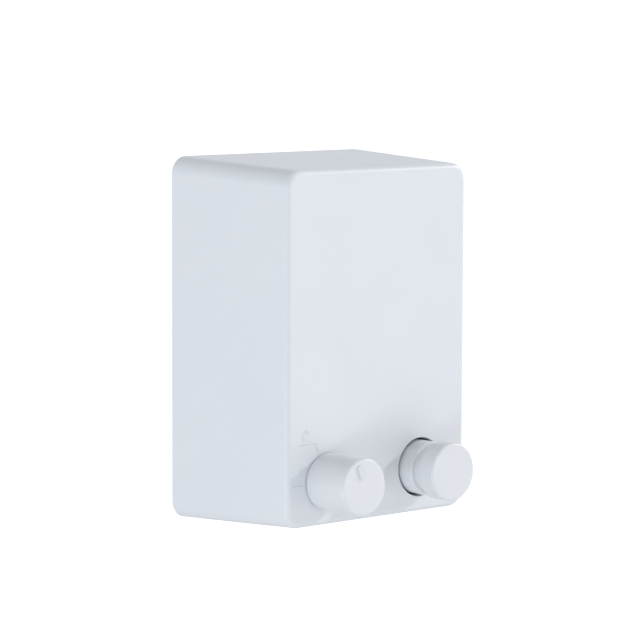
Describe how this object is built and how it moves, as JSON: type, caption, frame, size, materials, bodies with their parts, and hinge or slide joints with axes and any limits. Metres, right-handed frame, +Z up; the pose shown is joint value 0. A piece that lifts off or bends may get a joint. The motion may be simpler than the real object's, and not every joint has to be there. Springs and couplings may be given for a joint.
{
  "type": "retractable clothesline",
  "caption": "Wall-mounted retractable clothesline: drafted white case with a sprung reel, a pull-out line head and a rotary line lock knob.",
  "frame": {"origin": "the middle of the back face, in the plane of the wall", "axes": "+X to the right as seen from the room, +Y into the wall, +Z up"},
  "size_m": [0.09, 0.0751, 0.125],
  "materials": {
    "housing_shell": "satin moulded ABS",
    "cover_plastic": "fine spark-eroded ABS",
    "frame_plastic": "glass-filled nylon",
    "dock_plastic": "satin moulded ABS",
    "plate_steel": "zinc-plated sheet",
    "screw_steel": "zinc-plated",
    "shaft_steel": "turned steel",
    "clip_steel": "oiled spring steel",
    "spring_steel": "blued spring strip",
    "clamp_steel": "sintered steel",
    "bush_brass": "sintered bronze",
    "reel_plastic": "natural acetal",
    "pulley_plastic": "natural acetal",
    "line_wire": "stranded stainless wire in a clear coat",
    "ferrule_metal": "crimped",
    "eyelet_steel": "polished",
    "bumper_rubber": "moulded",
    "head_plastic": "satin moulded ABS",
    "knob_plastic": "satin moulded ABS"
  },
  "bodies": {
    "housing": {"front_housing": "housing_shell", "rear_cover": "cover_plastic", "wall_plate": "plate_steel", "case_screws": "screw_steel", "retaining_screw": "screw_steel", "arbor": "shaft_steel", "arbor_screws": "screw_steel", "arbor_washer": "clip_steel", "arbor_circlip": "clip_steel", "line_frame": "frame_plastic", "frame_screws": "screw_steel", "left_pulley_pin": "shaft_steel", "right_pulley_pin": "shaft_steel", "pulley_clips": "clip_steel", "dock_cup": "dock_plastic", "dock_screws": "screw_steel", "dock_bumper": "bumper_rubber", "line_eyelet": "eyelet_steel", "clamp_anvil": "clamp_steel", "anvil_screw": "screw_steel", "line_run": "line_wire"},
    "reel": {"reel_drum": "reel_plastic", "spring_cover": "reel_plastic", "spring_cover_screws": "screw_steel", "power_spring": "spring_steel", "front_bush": "bush_brass", "rear_bush": "bush_brass", "line_winding": "line_wire"},
    "left_pulley": {"left_pulley": "pulley_plastic"},
    "right_pulley": {"right_pulley": "pulley_plastic"},
    "pull_head": {"pull_head_body": "head_plastic", "pull_head_cap": "head_plastic", "line_ferrule": "ferrule_metal", "line_tail": "line_wire"},
    "lock_knob": {"lock_knob": "knob_plastic", "lock_spindle": "shaft_steel", "spindle_clip": "clip_steel", "friction_washer": "clip_steel"},
    "clamp_slider": {"clamp_slider": "clamp_steel", "clamp_pad": "bumper_rubber"}
  },
  "joints": [
    {"name": "line_pull", "type": "slide", "parent": "housing", "child": "pull_head", "axis": [0, -1, 0], "range_m": [0, 4.2], "stiffness_N_per_m": 1.67, "springref_m": -4.8, "deforming": ["line_tail"]},
    {"name": "reel_spin", "type": "hinge", "parent": "housing", "child": "reel", "pos_m": [0, -0.024, 0.0185], "axis": [0, -1, 0], "range_deg": [0, 7115], "deforming": ["power_spring", "line_winding"]},
    {"name": "left_pulley_spin", "type": "hinge", "parent": "housing", "child": "left_pulley", "pos_m": [-0.02944, -0.024, -0.0384], "axis": [0, -1, 0], "range_deg": [0, 40110]},
    {"name": "right_pulley_spin", "type": "hinge", "parent": "housing", "child": "right_pulley", "pos_m": [0.014, -0.03, -0.0444], "axis": [0, 0, -1], "range_deg": [0, 40110]},
    {"name": "knob_turn", "type": "hinge", "parent": "housing", "child": "lock_knob", "pos_m": [-0.023, -0.056, -0.045], "axis": [0, -1, 0], "range_deg": [0, 68]},
    {"name": "clamp_slide", "type": "slide", "parent": "housing", "child": "clamp_slider", "axis": [0, 0, 1], "range_m": [0, 0.00224]}
  ],
  "couplings": [
    {"joint": "reel_spin", "follows": "line_pull", "rad_per_m": 29.541},
    {"joint": "left_pulley_spin", "follows": "line_pull", "rad_per_m": 166.67},
    {"joint": "right_pulley_spin", "follows": "line_pull", "rad_per_m": 166.67},
    {"joint": "clamp_slide", "follows": "knob_turn", "m_per_rad": 0.0018847}
  ]
}
